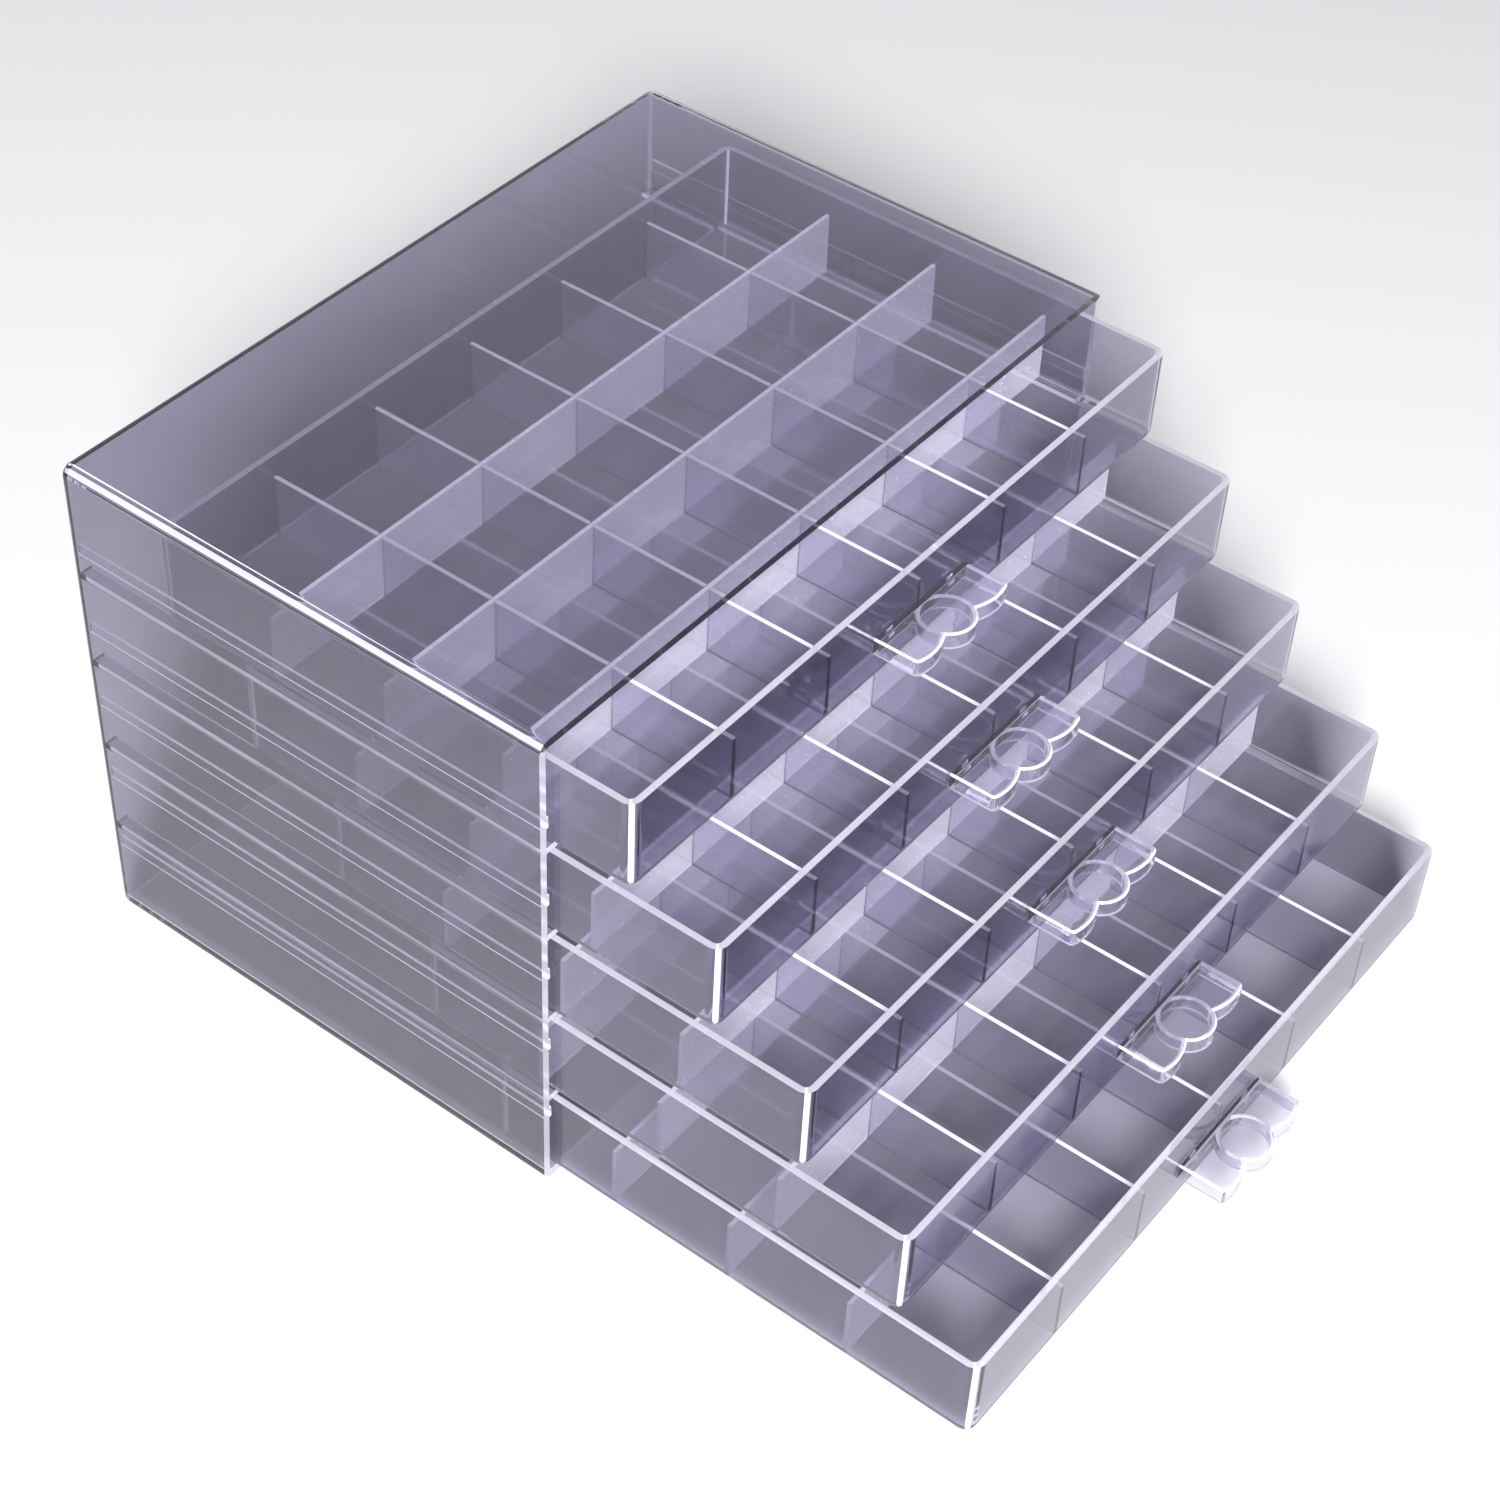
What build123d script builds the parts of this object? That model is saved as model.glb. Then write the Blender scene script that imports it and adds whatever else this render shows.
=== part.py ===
"""Clear stacking drawers for small nail supplies: an open-fronted cabinet with five divided trays.

The frame is in millimetres. The origin is the middle of the cabinet's underside, +Z is up,
+X is to the right as seen from the front, and the open front faces -Y.
"""
from build123d import *
from math import atan2, degrees
import os

os.makedirs("parts", exist_ok=True)

# Cabinet: one clear moulding with a plate on every side but the front.
cabinet_width = 235.0
cabinet_depth = 158.0
side_wall = 2.2
back_wall = 2.2
top_plate = 2.4
bottom_plate = 3.0
edge_radius = 3.5
back_edge_radius = 3.0
ledge_reach = 4.0
ledge_thickness = 2.0
ledge_round = 0.6
head_room = 4.0
guide_rib_count = 5
guide_rib_height = 3.5
guide_rib_proud = 0.8
guide_rib_start = 3.0

# Drawers: five equal trays, each standing on a pair of ledges or on the bottom plate.
drawer_count = 5
drawer_pitch = 30.2
slide_gap = 0.25
lift_gap = 0.35
side_gap = 1.4
rear_space = 4.6
tray_wall = 1.8
tray_floor = 2.0
tray_corner_radius = 3.5
tray_bottom_radius = 2.5
column_count = 6
row_count = 4
divider_foot = 1.6
divider_top = 1.2
divider_drop = 6.6

# How far each drawer stands open, from the top one down, as a share of its length.
open_shares = (0.163, 0.336, 0.519, 0.725, 0.879)

# Knob: a bow lying flat, hollow from below, held by two square pegs through the tray's front wall.
knob_width = 39.4
knob_height = 5.0
knob_skin = 1.3
knob_drop = 1.5
wing_end_reach = 13.4
wing_belly_reach = 14.4
wing_belly_inset = 5.7
wing_root_reach = 5.9
wing_corner_radius = 1.5
knot_reach = 16.2
knot_set_out = 0.2
knob_edge_bevel = 0.5
peg_spacing = 26.0
peg_side = 2.6
peg_gap = 0.1
peg_head_side = 4.4
peg_head_thickness = 0.8

cavity_width = cabinet_width - 2 * side_wall
cavity_depth = cabinet_depth - back_wall
cavity_height = drawer_count * drawer_pitch - ledge_thickness + head_room
cabinet_height = bottom_plate + cavity_height + top_plate
cavity_radius = edge_radius - side_wall
guide_rib_pitch = cabinet_height / (guide_rib_count + 1)

knot_radius = (knot_reach - knot_set_out) / 2

drawer_width = cavity_width - 2 * side_gap
drawer_length = cavity_depth - rear_space
drawer_height = drawer_pitch - ledge_thickness - slide_gap - lift_gap
tray_inner_width = drawer_width - 2 * tray_wall
tray_inner_length = drawer_length - 2 * tray_wall
divider_height = drawer_height - tray_floor - divider_drop
divider_side_angle = degrees(atan2(divider_height, (divider_foot - divider_top) / 2))
column_pitch = (tray_inner_width + divider_foot) / column_count
row_pitch = (tray_inner_length + divider_foot) / row_count
row_length = row_pitch - divider_foot


def bow_wings(inset):
    """Both wings of the bow as seen from above, drawn this far inside the outer line."""
    with BuildSketch() as wings:
        with BuildLine():
            front = ThreePointArc(
                (0, wing_root_reach),
                (knob_width / 2 - wing_belly_inset, wing_belly_reach),
                (knob_width / 2, wing_end_reach),
            )
            Polyline(front @ 1, (knob_width / 2, 0), (0, 0))
            mirror(about=Plane.YZ)
        make_face()
        for wing_end in (0, -1):
            end_corners = wings.vertices().group_by(Axis.X)[wing_end]
            fillet(end_corners.sort_by(Axis.Y)[-1], radius=wing_corner_radius)
        if inset > 0:
            offset(amount=-inset, mode=Mode.REPLACE)
    return wings.sketch


# The cabinet is drawn on its back plane and grows towards the front.
back_plane = Plane(origin=(0, cabinet_depth / 2, 0), x_dir=(1, 0, 0), z_dir=(0, -1, 0))

with BuildPart() as cabinet_shell:
    with BuildSketch(back_plane):
        with Locations((0, cabinet_height / 2)):
            RectangleRounded(cabinet_width, cabinet_height, edge_radius)
    extrude(amount=cabinet_depth)
    fillet(cabinet_shell.faces().sort_by(Axis.Y)[-1].edges(), radius=back_edge_radius)
    with BuildSketch(back_plane.offset(back_wall)):
        with Locations((0, bottom_plate + cavity_height / 2)):
            RectangleRounded(cavity_width, cavity_height, cavity_radius)
    extrude(amount=cavity_depth, mode=Mode.SUBTRACT)
    for side in (-1, 1):
        with BuildSketch(back_plane.offset(back_wall)) as ledges:
            for level in range(1, drawer_count):
                ledge_middle = bottom_plate + level * drawer_pitch - ledge_thickness / 2
                with Locations((side * (cavity_width - ledge_reach) / 2, ledge_middle)):
                    Rectangle(ledge_reach, ledge_thickness)
            tips = ledges.vertices().sort_by(Axis.X, reverse=side < 0)
            fillet(tips[: 2 * (drawer_count - 1)], radius=ledge_round)
        extrude(amount=cavity_depth)
        with BuildSketch(back_plane.offset(guide_rib_start)):
            for rib in range(1, guide_rib_count + 1):
                rib_middle = rib * guide_rib_pitch
                with Locations((side * (cavity_width - guide_rib_proud) / 2, rib_middle)):
                    Rectangle(guide_rib_proud, guide_rib_height)
        extrude(amount=cabinet_depth - guide_rib_start)
cabinet_shell.part.label = "cabinet_shell"
export_step(cabinet_shell.part, "parts/cabinet_shell.step")

for number in range(1, drawer_count + 1):
    tray_bottom = bottom_plate + (drawer_count - number) * drawer_pitch + slide_gap
    front_y = -cabinet_depth / 2 - open_shares[number - 1] * drawer_length
    middle_y = front_y + drawer_length / 2
    tray_plane = Plane(origin=(0, middle_y, tray_bottom))
    knob_middle = tray_bottom + drawer_height / 2 - knob_drop
    peg_plane = Plane(origin=(0, front_y, knob_middle), x_dir=(1, 0, 0), z_dir=(0, -1, 0))
    knob_plane = Plane(
        origin=(0, front_y, knob_middle - knob_height / 2), x_dir=(-1, 0, 0), z_dir=(0, 0, 1)
    )

    with BuildPart() as tray:
        with BuildSketch(tray_plane):
            RectangleRounded(drawer_width, drawer_length, tray_corner_radius)
        extrude(amount=drawer_height)
        fillet(tray.faces().sort_by(Axis.Z)[0].edges(), radius=tray_bottom_radius)
        with BuildSketch(tray_plane.offset(tray_floor)):
            RectangleRounded(tray_inner_width, tray_inner_length, tray_corner_radius - tray_wall)
        extrude(amount=drawer_height - tray_floor, mode=Mode.SUBTRACT)
        with BuildSketch(peg_plane):
            with GridLocations(peg_spacing, 1, 2, 1):
                Rectangle(peg_side + 2 * peg_gap, peg_side + 2 * peg_gap)
        extrude(amount=-tray_wall, mode=Mode.SUBTRACT)
    tray.part.label = f"drawer_{number}_tray"
    export_step(tray.part, f"parts/drawer_{number}_tray.step")

    # The long dividers run across the whole tray, the short ones from one long divider to the next.
    left_inside = Plane(
        origin=(-tray_inner_width / 2, middle_y, tray_bottom + tray_floor),
        x_dir=(0, 1, 0),
        z_dir=(1, 0, 0),
    )
    with BuildPart() as long_dividers:
        with BuildSketch(left_inside):
            with GridLocations(row_pitch, 1, row_count - 1, 1):
                Trapezoid(
                    divider_foot, divider_height, divider_side_angle, align=(Align.CENTER, Align.MIN)
                )
        extrude(amount=tray_inner_width)
    long_dividers.part.label = f"drawer_{number}_long_dividers"
    export_step(long_dividers.part, f"parts/drawer_{number}_long_dividers.step")

    with BuildPart() as short_dividers:
        for row in range(row_count):
            row_back = middle_y + tray_inner_length / 2 - row * row_pitch
            row_plane = Plane(
                origin=(0, row_back, tray_bottom + tray_floor), x_dir=(1, 0, 0), z_dir=(0, -1, 0)
            )
            with BuildSketch(row_plane):
                with GridLocations(column_pitch, 1, column_count - 1, 1):
                    Trapezoid(
                        divider_foot, divider_height, divider_side_angle, align=(Align.CENTER, Align.MIN)
                    )
            extrude(amount=row_length)
    short_dividers.part.label = f"drawer_{number}_short_dividers"
    export_step(short_dividers.part, f"parts/drawer_{number}_short_dividers.step")

    with BuildPart() as knob:
        with BuildSketch(knob_plane):
            add(bow_wings(0))
            with Locations((0, knot_reach - knot_radius)):
                Circle(knot_radius)
        extrude(amount=knob_height)
        top_edges = knob.faces().sort_by(Axis.Z)[-1].edges()
        free_edges = top_edges.filter_by(lambda edge: edge.center().Y < front_y - knob_skin)
        chamfer(free_edges, length=knob_edge_bevel)
        with BuildSketch(knob_plane):
            add(bow_wings(knob_skin))
            with Locations((0, knot_reach - knot_radius)):
                Circle(knot_radius, mode=Mode.SUBTRACT)
                Circle(knot_radius - knob_skin)
        extrude(amount=knob_height - knob_skin, mode=Mode.SUBTRACT)
        with BuildSketch(peg_plane.offset(-tray_wall - peg_gap)):
            with GridLocations(peg_spacing, 1, 2, 1):
                Rectangle(peg_side, peg_side)
        extrude(amount=tray_wall + peg_gap + knob_skin / 2)
        with BuildSketch(peg_plane.offset(-tray_wall - peg_gap)):
            with GridLocations(peg_spacing, 1, 2, 1):
                Rectangle(peg_head_side, peg_head_side)
        extrude(amount=-peg_head_thickness)
    knob.part.label = f"drawer_{number}_knob"
    export_step(knob.part, f"parts/drawer_{number}_knob.step")
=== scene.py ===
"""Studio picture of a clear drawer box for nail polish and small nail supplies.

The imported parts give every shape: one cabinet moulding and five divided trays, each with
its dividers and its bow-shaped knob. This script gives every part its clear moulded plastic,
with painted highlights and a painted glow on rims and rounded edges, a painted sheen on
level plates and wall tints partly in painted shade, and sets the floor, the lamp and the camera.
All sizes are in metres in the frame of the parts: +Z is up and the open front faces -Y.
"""

import logging
from dataclasses import dataclass, field
from enum import Enum
from math import radians

import bmesh
import bpy
from mathutils import Euler, Matrix, Vector


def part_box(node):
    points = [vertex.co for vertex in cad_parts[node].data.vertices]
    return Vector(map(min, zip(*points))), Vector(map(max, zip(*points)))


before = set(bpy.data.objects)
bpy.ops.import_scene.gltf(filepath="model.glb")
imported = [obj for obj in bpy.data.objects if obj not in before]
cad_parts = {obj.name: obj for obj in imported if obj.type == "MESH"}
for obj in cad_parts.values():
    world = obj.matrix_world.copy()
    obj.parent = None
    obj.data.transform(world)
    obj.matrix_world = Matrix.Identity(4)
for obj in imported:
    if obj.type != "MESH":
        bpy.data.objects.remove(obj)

log = logging.getLogger("nail_drawer_box")

DRAWER_COUNT = 5
Colour = tuple[float, float, float]
Triple = tuple[float, float, float]

# A face looks straight along an axis if its normal's share along that axis is above SQUARE.
# In the middle of a rounded edge, the shares towards both its sides lie between the other two.
SQUARE = 0.9
EDGE_LEAST = 0.58
EDGE_MOST = 0.82


class Slot(Enum):
    """The plastics a face of a part can take, in the order of the part's material slots."""

    # RIM and EDGE faces take plastics with painted highlights; PLATE faces take a lighter copy
    # with painted sheen.
    BODY = 0
    RIM = 1
    EDGE = 2
    PLATE = 3


def linear(red: int, green: int, blue: int) -> Colour:
    """Turn a colour as a screen shows it into the linear one a shader takes.

    Args:
        red: Red from 0 to 255.
        green: Green from 0 to 255.
        blue: Blue from 0 to 255.

    Returns:
        The same colour as three linear shares of 1.
    """

    def one(value: int) -> float:
        """Turn one channel linear."""
        share = value / 255
        return share / 12.92 if share <= 0.04045 else ((share + 0.055) / 1.055) ** 2.4

    return one(red), one(green), one(blue)


@dataclass(frozen=True)
class MouldedSurface:
    """The shared surface pattern of injection-moulded plastic, as one node group.

    It holds slow flow waves left by the melt, a fine grain from the mould's polish, and
    long hair scratches from trays rubbing on ledges.
    """

    name: str = "moulded_surface"
    flow_detail: float = 3.0
    flow_roughness: float = 0.45
    flow_distortion: float = 0.8
    grain_detail: float = 2.0
    scratch_detail: float = 1.0
    scratch_scale: Triple = (900.0, 25.0, 900.0)
    scratch_slant: float = 0.12
    scratch_begins: float = 0.66
    scratch_full: float = 0.74

    def group(self) -> bpy.types.ShaderNodeTree:
        """Build the group once and hand out the same one after that.

        Returns:
            The node group, with Color, Roughness and Height as its outputs.
        """
        made = bpy.data.node_groups.get(self.name)
        if made is not None:
            return made
        tree = bpy.data.node_groups.new(self.name, "ShaderNodeTree")
        self._sockets(tree)
        self._nodes(tree)
        return tree

    def _sockets(self, tree: bpy.types.ShaderNodeTree) -> None:
        """Give the group its named inputs and outputs.

        Args:
            tree: The node group to fill.
        """
        face = tree.interface
        for name, kind, value in (
            ("Clear Color", "NodeSocketColor", (1, 1, 1, 1)),
            ("Cloud Color", "NodeSocketColor", (0.8, 0.8, 0.8, 1)),
            ("Roughness", "NodeSocketFloat", 0.05),
            ("Roughness Spread", "NodeSocketFloat", 0.05),
            ("Flow Scale", "NodeSocketFloat", 22.0),
            ("Grain Scale", "NodeSocketFloat", 900.0),
            ("Grain Share", "NodeSocketFloat", 0.1),
            ("Scratch Share", "NodeSocketFloat", 0.2),
        ):
            socket = face.new_socket(name=name, in_out="INPUT", socket_type=kind)
            socket.default_value = value
        for name, kind in (
            ("Color", "NodeSocketColor"),
            ("Roughness", "NodeSocketFloat"),
            ("Height", "NodeSocketFloat"),
        ):
            face.new_socket(name=name, in_out="OUTPUT", socket_type=kind)

    def _nodes(self, tree: bpy.types.ShaderNodeTree) -> None:
        """Lay out the pattern's nodes and join them.

        Args:
            tree: The node group to fill.
        """
        links = tree.links
        given = tree.nodes.new("NodeGroupInput").outputs
        out = tree.nodes.new("NodeGroupOutput").inputs
        place = tree.nodes.new("ShaderNodeTexCoord").outputs["Object"]

        waves = self._noise(tree, place, self.flow_detail)
        waves.inputs["Roughness"].default_value = self.flow_roughness
        waves.inputs["Distortion"].default_value = self.flow_distortion
        links.new(given["Flow Scale"], waves.inputs["Scale"])
        flow = waves.outputs["Fac"]
        polish = self._noise(tree, place, self.grain_detail)
        links.new(given["Grain Scale"], polish.inputs["Scale"])
        grain = polish.outputs["Fac"]
        scratch = self._scratches(tree, place)

        tint = tree.nodes.new("ShaderNodeMix")
        tint.data_type = "RGBA"
        links.new(flow, tint.inputs["Factor"])
        links.new(given["Clear Color"], tint.inputs["A"])
        links.new(given["Cloud Color"], tint.inputs["B"])
        links.new(tint.outputs["Result"], out["Color"])

        spread = self._maths(tree, "MULTIPLY", flow, given["Roughness Spread"])
        rubbed = self._maths(tree, "MULTIPLY_ADD", scratch, given["Scratch Share"], spread)
        rough = self._maths(tree, "ADD", rubbed, given["Roughness"])
        rough.node.use_clamp = True
        links.new(rough, out["Roughness"])

        height = self._maths(tree, "MULTIPLY_ADD", grain, given["Grain Share"], flow)
        links.new(height, out["Height"])

    def _scratches(
        self, tree: bpy.types.ShaderNodeTree, place: bpy.types.NodeSocket
    ) -> bpy.types.NodeSocket:
        """Add the long hair scratches, as thin streaks of a drawn-out noise.

        Args:
            tree: The node group they go into.
            place: The output that gives the place on the part.

        Returns:
            The output that is 1 in a scratch and 0 beside it.
        """
        drawn_out = tree.nodes.new("ShaderNodeMapping")
        drawn_out.inputs["Scale"].default_value = self.scratch_scale
        drawn_out.inputs["Rotation"].default_value = (0.0, 0.0, self.scratch_slant)
        tree.links.new(place, drawn_out.inputs["Vector"])
        streaks = self._noise(tree, drawn_out.outputs["Vector"], self.scratch_detail)
        streaks.inputs["Scale"].default_value = 1.0
        thin = tree.nodes.new("ShaderNodeMapRange")
        thin.inputs["From Min"].default_value = self.scratch_begins
        thin.inputs["From Max"].default_value = self.scratch_full
        tree.links.new(streaks.outputs["Fac"], thin.inputs["Value"])
        return thin.outputs["Result"]

    @staticmethod
    def _noise(
        tree: bpy.types.ShaderNodeTree, place: bpy.types.NodeSocket, detail: float
    ) -> bpy.types.ShaderNode:
        """Add one Noise Texture node.

        Args:
            tree: The node group it goes into.
            place: The output that gives the place on the part.
            detail: How many finer layers the noise has.

        Returns:
            The new node.
        """
        node = tree.nodes.new("ShaderNodeTexNoise")
        node.inputs["Detail"].default_value = detail
        tree.links.new(place, node.inputs["Vector"])
        return node

    @staticmethod
    def _maths(
        tree: bpy.types.ShaderNodeTree, operation: str, *values: bpy.types.NodeSocket
    ) -> bpy.types.NodeSocket:
        """Add one Math node.

        Args:
            tree: The node group it goes into.
            operation: What it works out, by its name in Blender.
            *values: The outputs it works on, in its own order.

        Returns:
            The node's output.
        """
        node = tree.nodes.new("ShaderNodeMath")
        node.operation = operation
        for value, socket in zip(values, node.inputs):
            tree.links.new(value, socket)
        return node.outputs["Value"]


@dataclass(frozen=True)
class Plastic:
    """A clear plastic finish: its tint, how much shines through and how smooth it is.

    The shade is what a lamp's light keeps on its way through a wall. The glow strength is a
    painted glow: light the plastic gives out by itself in its tint, though it is no lamp.
    """

    name: str
    clear: Colour
    cloud: Colour
    see_through: float = 1.0
    ior: float = 1.49
    shine: float = 0.5
    roughness: float = 0.02
    roughness_spread: float = 0.04
    flow_scale: float = 22.0
    grain_share: float = 0.02
    scratch_share: float = 0.1
    wave_depth: float = 0.0004
    wave_strength: float = 0.25
    shade: Colour = (0.86, 0.85, 0.89)
    painted_glow: float = 0.0

    def material(self) -> bpy.types.Material:
        """Build the finish's material once and hand out the same one after that.

        Returns:
            The material.
        """
        made = bpy.data.materials.get(self.name)
        if made is not None:
            return made
        material = bpy.data.materials.new(self.name)
        material.use_nodes = True
        tree = material.node_tree
        shader = tree.nodes["Principled BSDF"]
        shader.inputs["Metallic"].default_value = 0.0
        shader.inputs["IOR"].default_value = self.ior
        shader.inputs["Transmission Weight"].default_value = self.see_through
        shader.inputs["Specular IOR Level"].default_value = self.shine

        surface = tree.nodes.new("ShaderNodeGroup")
        surface.node_tree = MouldedSurface().group()
        surface.inputs["Clear Color"].default_value = (*self.clear, 1.0)
        surface.inputs["Cloud Color"].default_value = (*self.cloud, 1.0)
        surface.inputs["Roughness"].default_value = self.roughness
        surface.inputs["Roughness Spread"].default_value = self.roughness_spread
        surface.inputs["Flow Scale"].default_value = self.flow_scale
        surface.inputs["Grain Share"].default_value = self.grain_share
        surface.inputs["Scratch Share"].default_value = self.scratch_share

        bump = tree.nodes.new("ShaderNodeBump")
        bump.inputs["Strength"].default_value = self.wave_strength
        bump.inputs["Distance"].default_value = self.wave_depth
        # Painted glow: emission in the plastic's own tint, though the plastic is no lamp.
        shader.inputs["Emission Strength"].default_value = self.painted_glow
        tree.links.new(surface.outputs["Color"], shader.inputs["Base Color"])
        tree.links.new(surface.outputs["Color"], shader.inputs["Emission Color"])
        tree.links.new(surface.outputs["Roughness"], shader.inputs["Roughness"])
        tree.links.new(surface.outputs["Height"], bump.inputs["Height"])
        tree.links.new(bump.outputs["Normal"], shader.inputs["Normal"])
        self._let_light_through(tree, shader)
        return material

    def _let_light_through(
        self, tree: bpy.types.ShaderNodeTree, shader: bpy.types.ShaderNode
    ) -> None:
        """Let a lamp's light pass the plastic with some loss, so it lights what is inside.

        Args:
            tree: The material's nodes.
            shader: The plastic's own shader.
        """
        ray = tree.nodes.new("ShaderNodeLightPath")
        passing = tree.nodes.new("ShaderNodeBsdfTransparent")
        passing.inputs["Color"].default_value = (*self.shade, 1.0)
        either = tree.nodes.new("ShaderNodeMixShader")
        tree.links.new(ray.outputs["Is Shadow Ray"], either.inputs["Fac"])
        tree.links.new(shader.outputs["BSDF"], either.inputs[1])
        tree.links.new(passing.outputs["BSDF"], either.inputs[2])
        tree.links.new(either.outputs["Shader"], tree.nodes["Material Output"].inputs["Surface"])


# Cabinet walls: tint partly the plastic's own, partly painted shade, darker than the level plates.
CABINET_WALL_PLASTIC = Plastic(
    "cabinet_wall_clear_plastic",
    linear(198, 195, 210),
    linear(180, 177, 194),
    see_through=0.99,
    shine=0.1,
    grain_share=0.004,
    wave_strength=0.15,
    shade=(0.6, 0.59, 0.61),
)
# Level plates: a lighter, shinier copy of the wall plastic, a painted sheen for the light from
# above.
CABINET_PLATE_PAINTED_SHEEN = Plastic(
    "cabinet_plate_painted_sheen_plastic",
    linear(214, 211, 226),
    linear(198, 195, 212),
    see_through=0.98,
    shine=0.34,
    grain_share=0.004,
    wave_strength=0.15,
    shade=(0.68, 0.67, 0.69),
)
# Tray walls: tint partly the plastic's own, partly painted shade, darker than the tray floors.
TRAY_PLASTIC = Plastic(
    "tray_wall_clear_plastic",
    linear(200, 197, 213),
    linear(184, 181, 199),
    see_through=0.985,
    shine=0.14,
    grain_share=0.004,
    wave_strength=0.2,
    shade=(0.54, 0.53, 0.56),
)
# Tray floors: a lighter, shinier copy of the tray wall plastic, a painted sheen for the light from
# above, with a faint painted glow.
TRAY_FLOOR_PAINTED_SHEEN = Plastic(
    "tray_floor_painted_sheen_and_glow_plastic",
    linear(222, 220, 234),
    linear(206, 203, 220),
    see_through=0.93,
    shine=0.6,
    roughness=0.03,
    grain_share=0.01,
    shade=(0.6, 0.59, 0.62),
    painted_glow=0.035,
)
DIVIDER_PLASTIC = Plastic(
    "divider_clear_plastic",
    linear(228, 226, 239),
    linear(214, 211, 228),
    see_through=0.95,
    shine=0.14,
    roughness=0.04,
    grain_share=0.01,
    shade=(0.74, 0.73, 0.76),
)
# Long dividers: hazy plastic with a painted glow.
LONG_DIVIDER_PLASTIC = Plastic(
    "long_divider_hazy_painted_glow_plastic",
    linear(236, 234, 247),
    linear(222, 219, 236),
    see_through=0.78,
    shine=0.35,
    roughness=0.08,
    grain_share=0.01,
    scratch_share=0.2,
    shade=(0.74, 0.73, 0.76),
    painted_glow=0.16,
)
KNOB_PLASTIC = Plastic(
    "knob_clear_plastic",
    linear(236, 235, 246),
    linear(222, 220, 236),
    see_through=0.96,
    flow_scale=60.0,
    grain_share=0.01,
    wave_strength=0.4,
    shade=(0.7, 0.69, 0.72),
)
# Tray rims: a lighter, glowing copy of the tray plastic, a painted highlight.
TRAY_RIM_PAINTED_HIGHLIGHT = Plastic(
    "tray_rim_painted_highlight_plastic",
    linear(238, 237, 250),
    linear(218, 215, 234),
    see_through=0.5,
    roughness=0.16,
    roughness_spread=0.12,
    grain_share=0.08,
    painted_glow=0.12,
)
# Rims, ledge noses, divider tops and knob bevels: a lighter, glowing copy of the plastic, a
# painted highlight.
RIM_PAINTED_HIGHLIGHT = Plastic(
    "rim_painted_highlight_plastic",
    linear(246, 245, 255),
    linear(232, 230, 248),
    see_through=0.3,
    roughness=0.2,
    roughness_spread=0.12,
    grain_share=0.1,
    painted_glow=0.3,
)
# Rounded edges: a lighter, glowing copy of the plastic, a painted highlight.
EDGE_PAINTED_HIGHLIGHT = Plastic(
    "rounded_edge_painted_highlight_plastic",
    linear(244, 243, 254),
    linear(230, 228, 246),
    see_through=0.6,
    roughness=0.12,
    roughness_spread=0.1,
    grain_share=0.05,
    painted_glow=0.2,
)


def half_way(share: float) -> bool:
    """Say whether a share of a normal is that of the middle of a rounded edge."""
    return EDGE_LEAST < share < EDGE_MOST


def turned(first: float, second: float) -> bool:
    """Say whether a face looks half-way between two axes, as a rounded edge's middle does."""
    return half_way(abs(first)) and half_way(abs(second))


@dataclass
class ClearPart:
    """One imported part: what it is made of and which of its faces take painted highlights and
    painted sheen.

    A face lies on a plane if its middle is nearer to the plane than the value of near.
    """

    node: str
    plastic: Plastic
    rim: Plastic = RIM_PAINTED_HIGHLIGHT
    plate: Plastic = CABINET_PLATE_PAINTED_SHEEN
    near: float = 0.0004
    low: Vector = field(init=False)
    high: Vector = field(init=False)

    def __post_init__(self) -> None:
        """Note where the part begins and ends."""
        self.low, self.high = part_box(self.node)

    def slot_of(self, centre: Vector, normal: Vector) -> Slot:
        """Say which plastic a face takes, which is the body's own on a part without rims.

        Args:
            centre: The middle of the face.
            normal: The way the face looks.

        Returns:
            The slot of that plastic.
        """
        return Slot.BODY

    def dress(self) -> None:
        """Give every face of the part its plastic."""
        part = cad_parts[self.node]
        mesh = part.data
        mesh.materials.clear()
        for plastic in (self.plastic, self.rim, EDGE_PAINTED_HIGHLIGHT, self.plate):
            mesh.materials.append(plastic.material())
        for face in mesh.polygons:
            face.material_index = self.slot_of(face.center, face.normal).value
        log.info("%s: %s on %d faces", part.name, self.plastic.name, len(mesh.polygons))


@dataclass
class CabinetShell(ClearPart):
    """The cabinet moulding: its plates, outer edges, front rim, ledge noses and guide ribs."""

    node: str = "cabinet_shell"
    plastic: Plastic = CABINET_WALL_PLASTIC
    top_plate: float = 0.0024
    side_wall: float = 0.0022
    ledge_reach: float = 0.004
    rib_proud: float = 0.0008

    def slot_of(self, centre: Vector, normal: Vector) -> Slot:
        """Pick the front rim, the ledge noses, the ribs' narrow faces and the edges, which take
        painted highlights, and the plates, which take painted sheen.

        Args:
            centre: The middle of the face.
            normal: The way the face looks.

        Returns:
            The slot of that face's plastic.
        """
        level = abs(normal.z) > SQUARE
        inside = self.high.x - self.side_wall - abs(centre.x)
        top = centre.z > self.high.z - self.top_plate
        if normal.y < -SQUARE and centre.y < self.low.y + self.near:
            return Slot.BODY if top else Slot.EDGE
        if abs(normal.x) > SQUARE and abs(inside - self.ledge_reach) < self.near:
            return Slot.RIM
        if level and self.near / 2 < inside < self.rib_proud - self.near / 2:
            return Slot.RIM
        outer = inside < -self.near or top or centre.z < self.top_plate
        back = centre.y > self.high.y - self.side_wall
        if outer and turned(normal.x, normal.z) or back and half_way(normal.y):
            return Slot.EDGE
        return Slot.PLATE if level else Slot.BODY


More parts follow.
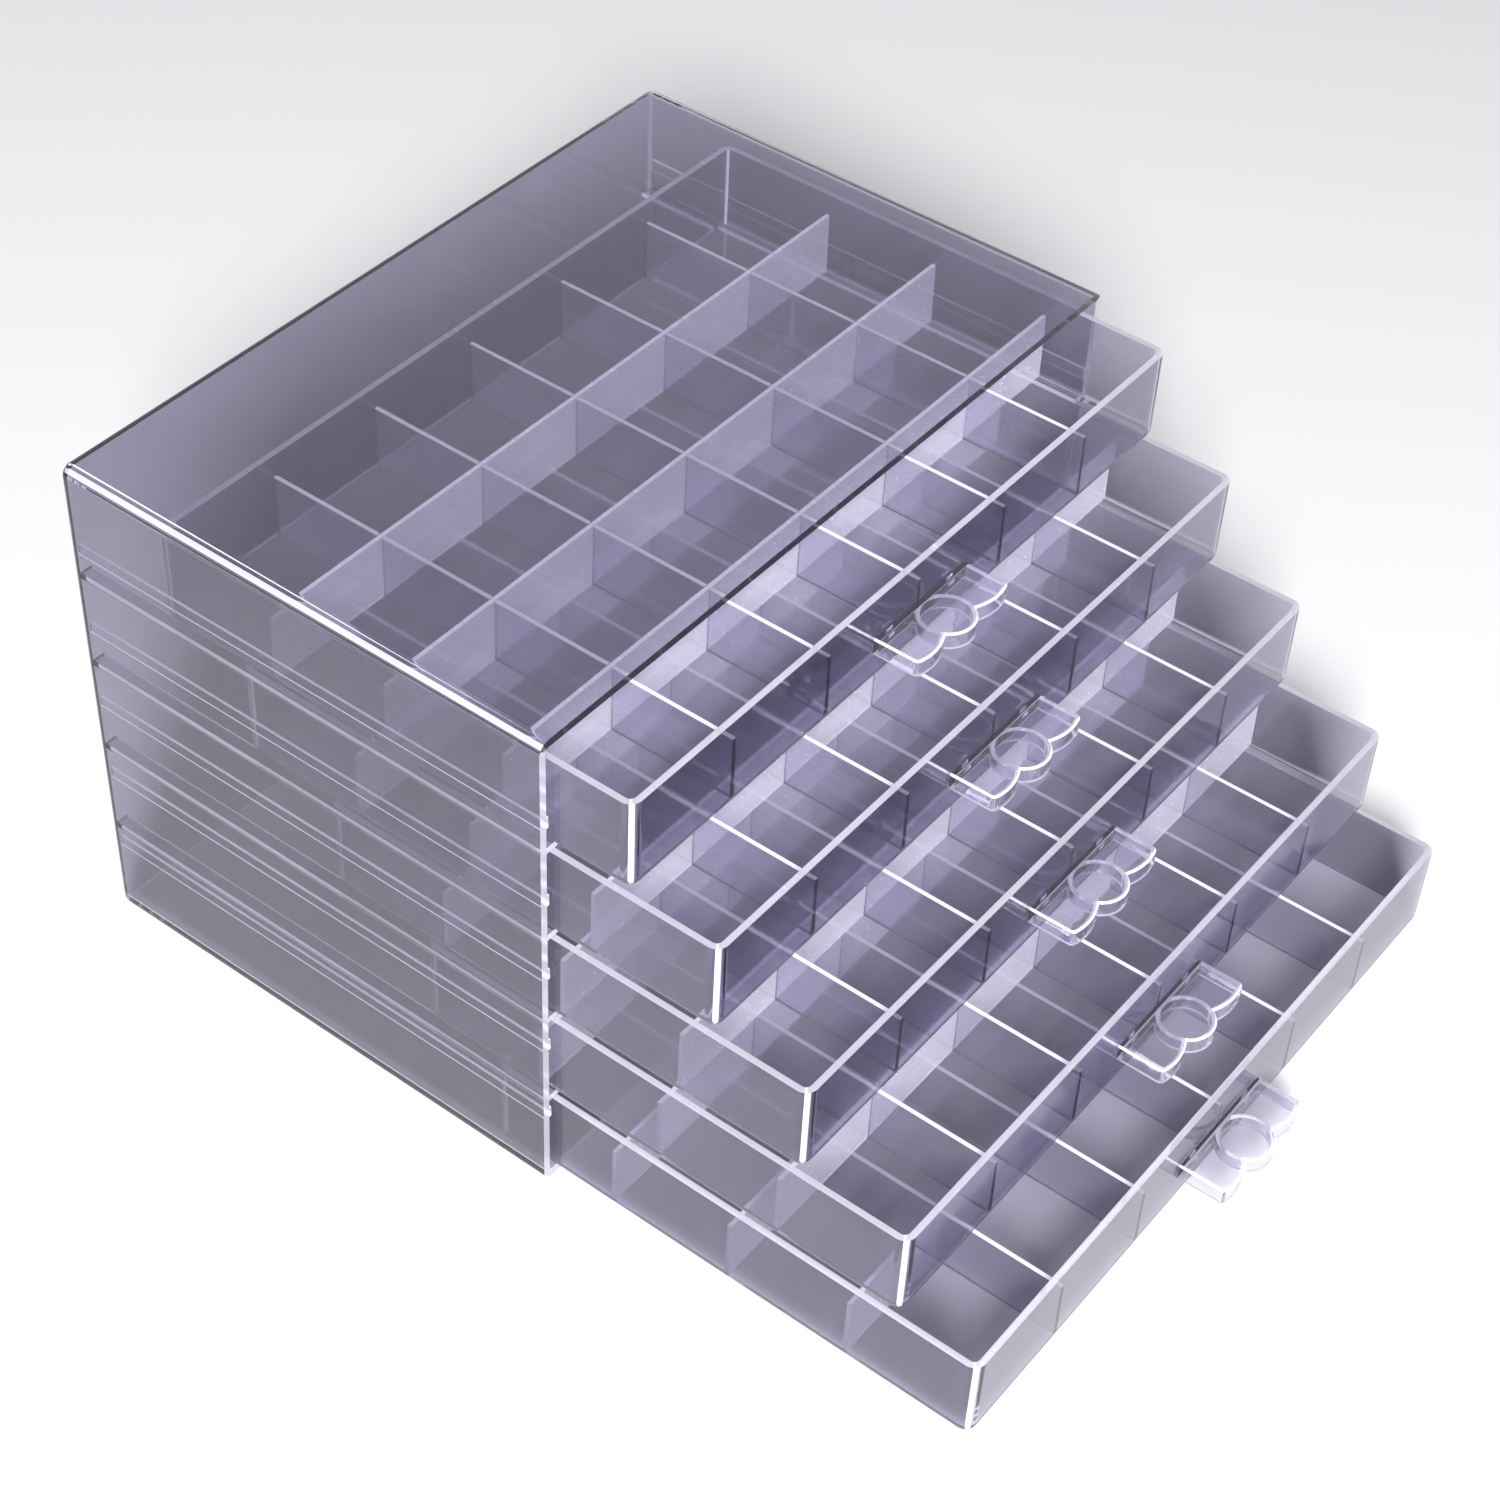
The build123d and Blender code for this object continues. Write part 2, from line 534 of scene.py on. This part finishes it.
@dataclass
class Tray(ClearPart):
    """A tray: its walls, its floor, its rim, its upright corners and its lower edge."""

    def slot_of(self, centre: Vector, normal: Vector) -> Slot:
        """Pick the rim, the upright corners and the rounded lower edge, which take painted
        highlights, and the floor, which takes painted sheen.

        Args:
            centre: The middle of the face.
            normal: The way the face looks.

        Returns:
            The slot of that face's plastic.
        """
        if normal.z > SQUARE and centre.z > self.high.z - self.near:
            return Slot.RIM
        if turned(normal.x, normal.y) or half_way(-normal.z):
            return Slot.EDGE
        return Slot.PLATE if abs(normal.z) > SQUARE else Slot.BODY


@dataclass
class Dividers(ClearPart):
    """A set of dividers whose upper edges take a painted highlight."""

    def slot_of(self, centre: Vector, normal: Vector) -> Slot:
        """Pick the upper edges, which take a painted highlight.

        Args:
            centre: The middle of the face.
            normal: The way the face looks.

        Returns:
            The slot of that face's plastic.
        """
        top = normal.z > SQUARE and centre.z > self.high.z - self.near
        return Slot.RIM if top else Slot.BODY


@dataclass
class Knob(ClearPart):
    """A bow-shaped knob whose bevel and lower rims take painted highlights."""

    bevel_least: float = 0.5

    def slot_of(self, centre: Vector, normal: Vector) -> Slot:
        """Pick the bevel round the top and the rims underneath, which take painted highlights.

        Args:
            centre: The middle of the face.
            normal: The way the face looks.

        Returns:
            The slot of that face's plastic.
        """
        if self.bevel_least < normal.z < SQUARE:
            return Slot.RIM
        under = normal.z < -SQUARE and centre.z < self.low.z + self.near
        return Slot.EDGE if under else Slot.BODY


@dataclass
class Drawer:
    """One drawer: a tray, its dividers both ways and the knob on its front."""

    number: int

    def parts(self) -> list[ClearPart]:
        """List the drawer's parts with their plastics.

        Returns:
            The tray, the long dividers, the short dividers and the knob.
        """
        name = f"drawer_{self.number}"
        return [
            Tray(f"{name}_tray", TRAY_PLASTIC, TRAY_RIM_PAINTED_HIGHLIGHT, TRAY_FLOOR_PAINTED_SHEEN),
            Dividers(f"{name}_long_dividers", LONG_DIVIDER_PLASTIC),
            Dividers(f"{name}_short_dividers", DIVIDER_PLASTIC),
            Knob(f"{name}_knob", KNOB_PLASTIC),
        ]

    def build(self) -> None:
        """Dress all the drawer's parts."""
        for part in self.parts():
            part.dress()
        log.info("drawer %d is dressed", self.number)


@dataclass(frozen=True)
class Camera:
    """The camera at the photograph's viewing angle, with its turns about X, Y and Z in degrees."""

    name: str = "photo_camera"
    place: Triple = (-0.49774, -0.41048, 0.64228)
    turns: Triple = (46.18114, -2.19841, -52.26222)
    lens: float = 73.632
    sensor: float = 36.0
    nearest: float = 0.01
    farthest: float = 20.0

    def build(self) -> None:
        """Make the camera and let the scene use it."""
        data = bpy.data.cameras.new(self.name)
        data.lens = self.lens
        data.sensor_width = self.sensor
        data.sensor_fit = "AUTO"
        data.clip_start = self.nearest
        data.clip_end = self.farthest
        camera = bpy.data.objects.new(self.name, data)
        bpy.context.scene.collection.objects.link(camera)
        turned_to_box = Euler([radians(turn) for turn in self.turns]).to_matrix().to_4x4()
        camera.matrix_world = Matrix.Translation(self.place) @ turned_to_box
        bpy.context.scene.camera = camera
        log.info("camera: %.1f mm lens", self.lens)


@dataclass(frozen=True)
class Lamp:
    """A soft square lamp that looks at the box."""

    name: str
    place: Triple
    side: float
    watts: float
    aim: Triple = (0.0, -0.03, 0.08)

    def build(self) -> None:
        """Make the lamp and turn it to the box."""
        data = bpy.data.lights.new(self.name, "AREA")
        data.shape = "SQUARE"
        data.size = self.side
        data.energy = self.watts
        lamp = bpy.data.objects.new(self.name, data)
        bpy.context.scene.collection.objects.link(lamp)
        lamp.location = self.place
        towards_box = Vector(self.aim) - Vector(self.place)
        lamp.rotation_euler = towards_box.to_track_quat("-Z", "Y").to_euler()
        log.info("%s: %.0f W", self.name, self.watts)


@dataclass(frozen=True)
class Studio:
    """The pale floor, one soft lamp and the even light all round.

    The world shines weakly on matt faces and more strongly where it is seen in the plastic or
    through it.
    """

    lamp: Lamp = Lamp("key_lamp", (-1.73, -1.26, 1.60), 0.6, 132.0)
    floor_side: float = 8.0
    floor_drop: float = 0.0002
    floor_colour: Colour = linear(244, 244, 246)
    floor_shine: float = 0.1
    floor_roughness: float = 0.9
    world_colour: Colour = linear(232, 231, 240)
    world_strength: float = 0.14
    mirrored_strength: float = 1.0
    light_bounces: int = 32
    glossy_bounces: int = 6
    diffuse_bounces: int = 3

    def build(self) -> None:
        """Set up everything round the box."""
        self._floor()
        self._world()
        self.lamp.build()
        self._light_paths()
        bpy.context.scene.view_settings.view_transform = "Standard"
        log.info("studio: floor, lamp and the world's light")

    def _light_paths(self) -> None:
        """Let light pass enough walls for deep stacks of clear plastic, without caustics."""
        paths = bpy.context.scene.cycles
        paths.max_bounces = self.light_bounces
        paths.transmission_bounces = self.light_bounces
        paths.transparent_max_bounces = self.light_bounces
        paths.glossy_bounces = self.glossy_bounces
        paths.diffuse_bounces = self.diffuse_bounces
        paths.caustics_refractive = False
        paths.caustics_reflective = False

    def _floor(self) -> None:
        """Lay the floor just under the box, so that the two don't share a plane."""
        shape = bmesh.new()
        bmesh.ops.create_grid(shape, x_segments=1, y_segments=1, size=self.floor_side / 2)
        bmesh.ops.translate(shape, verts=shape.verts, vec=(0, 0, -self.floor_drop))
        mesh = bpy.data.meshes.new("floor")
        shape.to_mesh(mesh)
        shape.free()
        floor = bpy.data.objects.new("floor", mesh)
        bpy.context.scene.collection.objects.link(floor)
        mesh.materials.append(self._floor_paint())

    def _floor_paint(self) -> bpy.types.Material:
        """Make the floor's matt paint.

        Returns:
            The material.
        """
        material = bpy.data.materials.new("pale_floor_paint")
        material.use_nodes = True
        shader = material.node_tree.nodes["Principled BSDF"]
        shader.inputs["Base Color"].default_value = (*self.floor_colour, 1.0)
        shader.inputs["Specular IOR Level"].default_value = self.floor_shine
        shader.inputs["Roughness"].default_value = self.floor_roughness
        return material

    def _world(self) -> None:
        """Light the box evenly from all round."""
        world = bpy.data.worlds.new("studio_light")
        world.use_nodes = True
        tree = world.node_tree
        background = tree.nodes["Background"]
        background.inputs["Color"].default_value = (*self.world_colour, 1.0)
        ray = tree.nodes.new("ShaderNodeLightPath")
        seen = ray.outputs["Is Camera Ray"]
        for other in ("Is Glossy Ray", "Is Transmission Ray"):
            either = tree.nodes.new("ShaderNodeMath")
            either.operation = "MAXIMUM"
            tree.links.new(seen, either.inputs[0])
            tree.links.new(ray.outputs[other], either.inputs[1])
            seen = either.outputs["Value"]
        strength = tree.nodes.new("ShaderNodeMapRange")
        strength.inputs["To Min"].default_value = self.world_strength
        strength.inputs["To Max"].default_value = self.mirrored_strength
        tree.links.new(seen, strength.inputs["Value"])
        tree.links.new(strength.outputs["Result"], background.inputs["Strength"])
        bpy.context.scene.world = world


def main() -> None:
    """Build the drawer box's looks and its studio in order."""
    logging.basicConfig(level=logging.INFO, format="%(name)s: %(message)s")
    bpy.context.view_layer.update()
    CabinetShell().dress()
    for number in range(1, DRAWER_COUNT + 1):
        Drawer(number).build()
    Studio().build()
    Camera().build()


if __name__ == "__main__":
    main()
